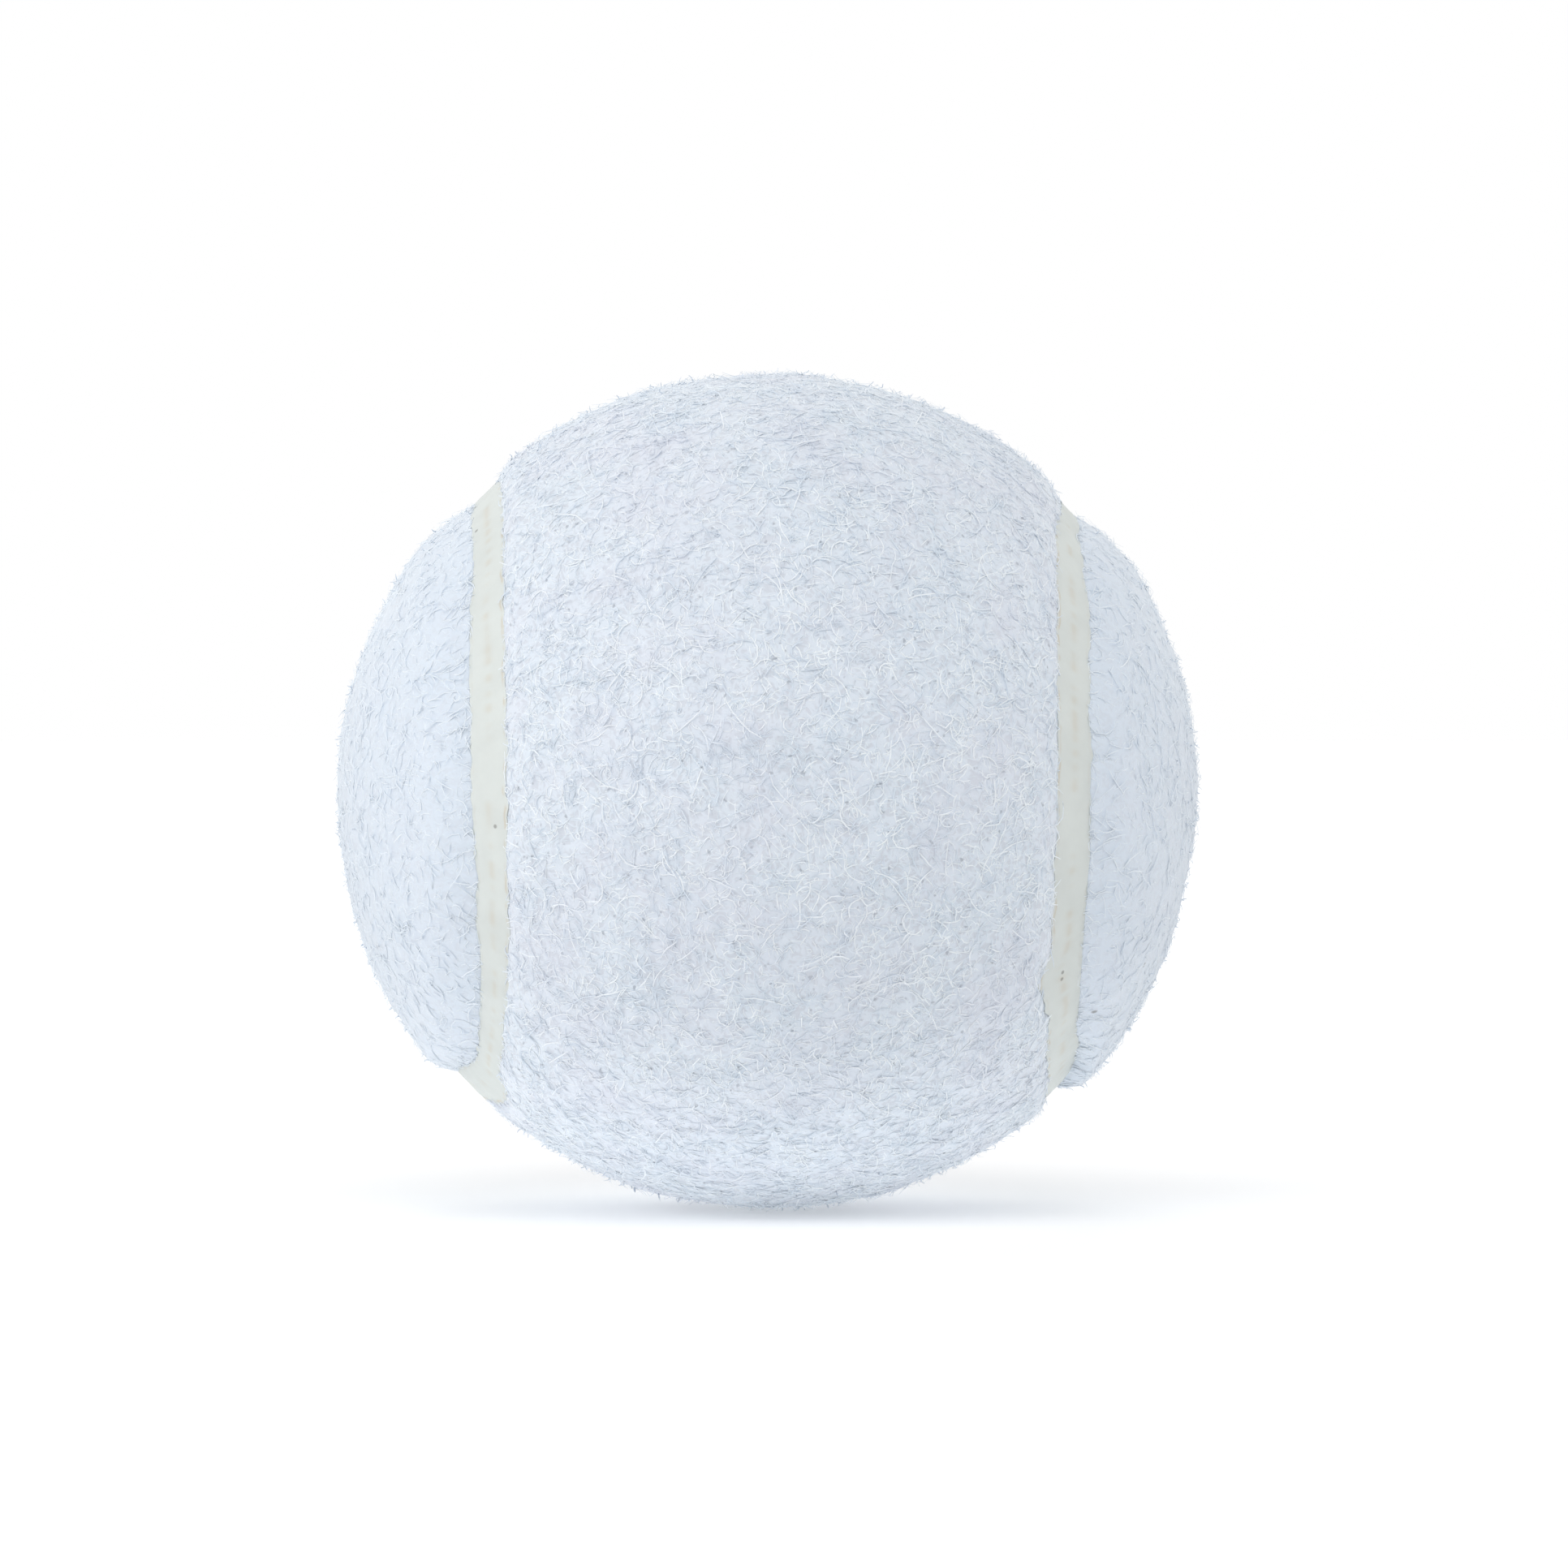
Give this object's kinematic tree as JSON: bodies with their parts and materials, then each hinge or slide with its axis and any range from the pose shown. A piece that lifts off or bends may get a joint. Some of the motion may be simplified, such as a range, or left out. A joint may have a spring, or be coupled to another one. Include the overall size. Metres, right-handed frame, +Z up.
{
  "type": "tennis ball",
  "caption": "White felt tennis ball: a hollow rubber core under interlocking felt panels with a raised nap, joined along a sunk wavy rubber seam.",
  "frame": {"origin": "middle of the ball", "axes": "+Z up, the waist of the front felt panel faces -Y and its round ends are at +Z and -Z; the round ends of the side panel are at +X and -X"},
  "size_m": [0.0668, 0.066, 0.0652],
  "materials": {
    "core_rubber": "matte moulded rubber, buffed on the outside",
    "cement": "dried rubber cement, slightly tacky",
    "base_cloth": "plain woven cotton base",
    "felt": "matted white felt nap of fine loose fibres",
    "seam_rubber": "smooth matte cream rubber"
  },
  "bodies": {
    "root": {"core_half_upper": "core_rubber", "core_half_lower": "core_rubber", "core_joint": "cement", "core_coat": "cement", "front_back_coat": "cement", "side_back_coat": "cement", "front_base_cloth": "base_cloth", "side_base_cloth": "base_cloth", "front_nap": "felt", "side_nap": "felt", "front_seam_strip": "seam_rubber", "side_seam_strip": "seam_rubber"}
  },
  "joints": []
}
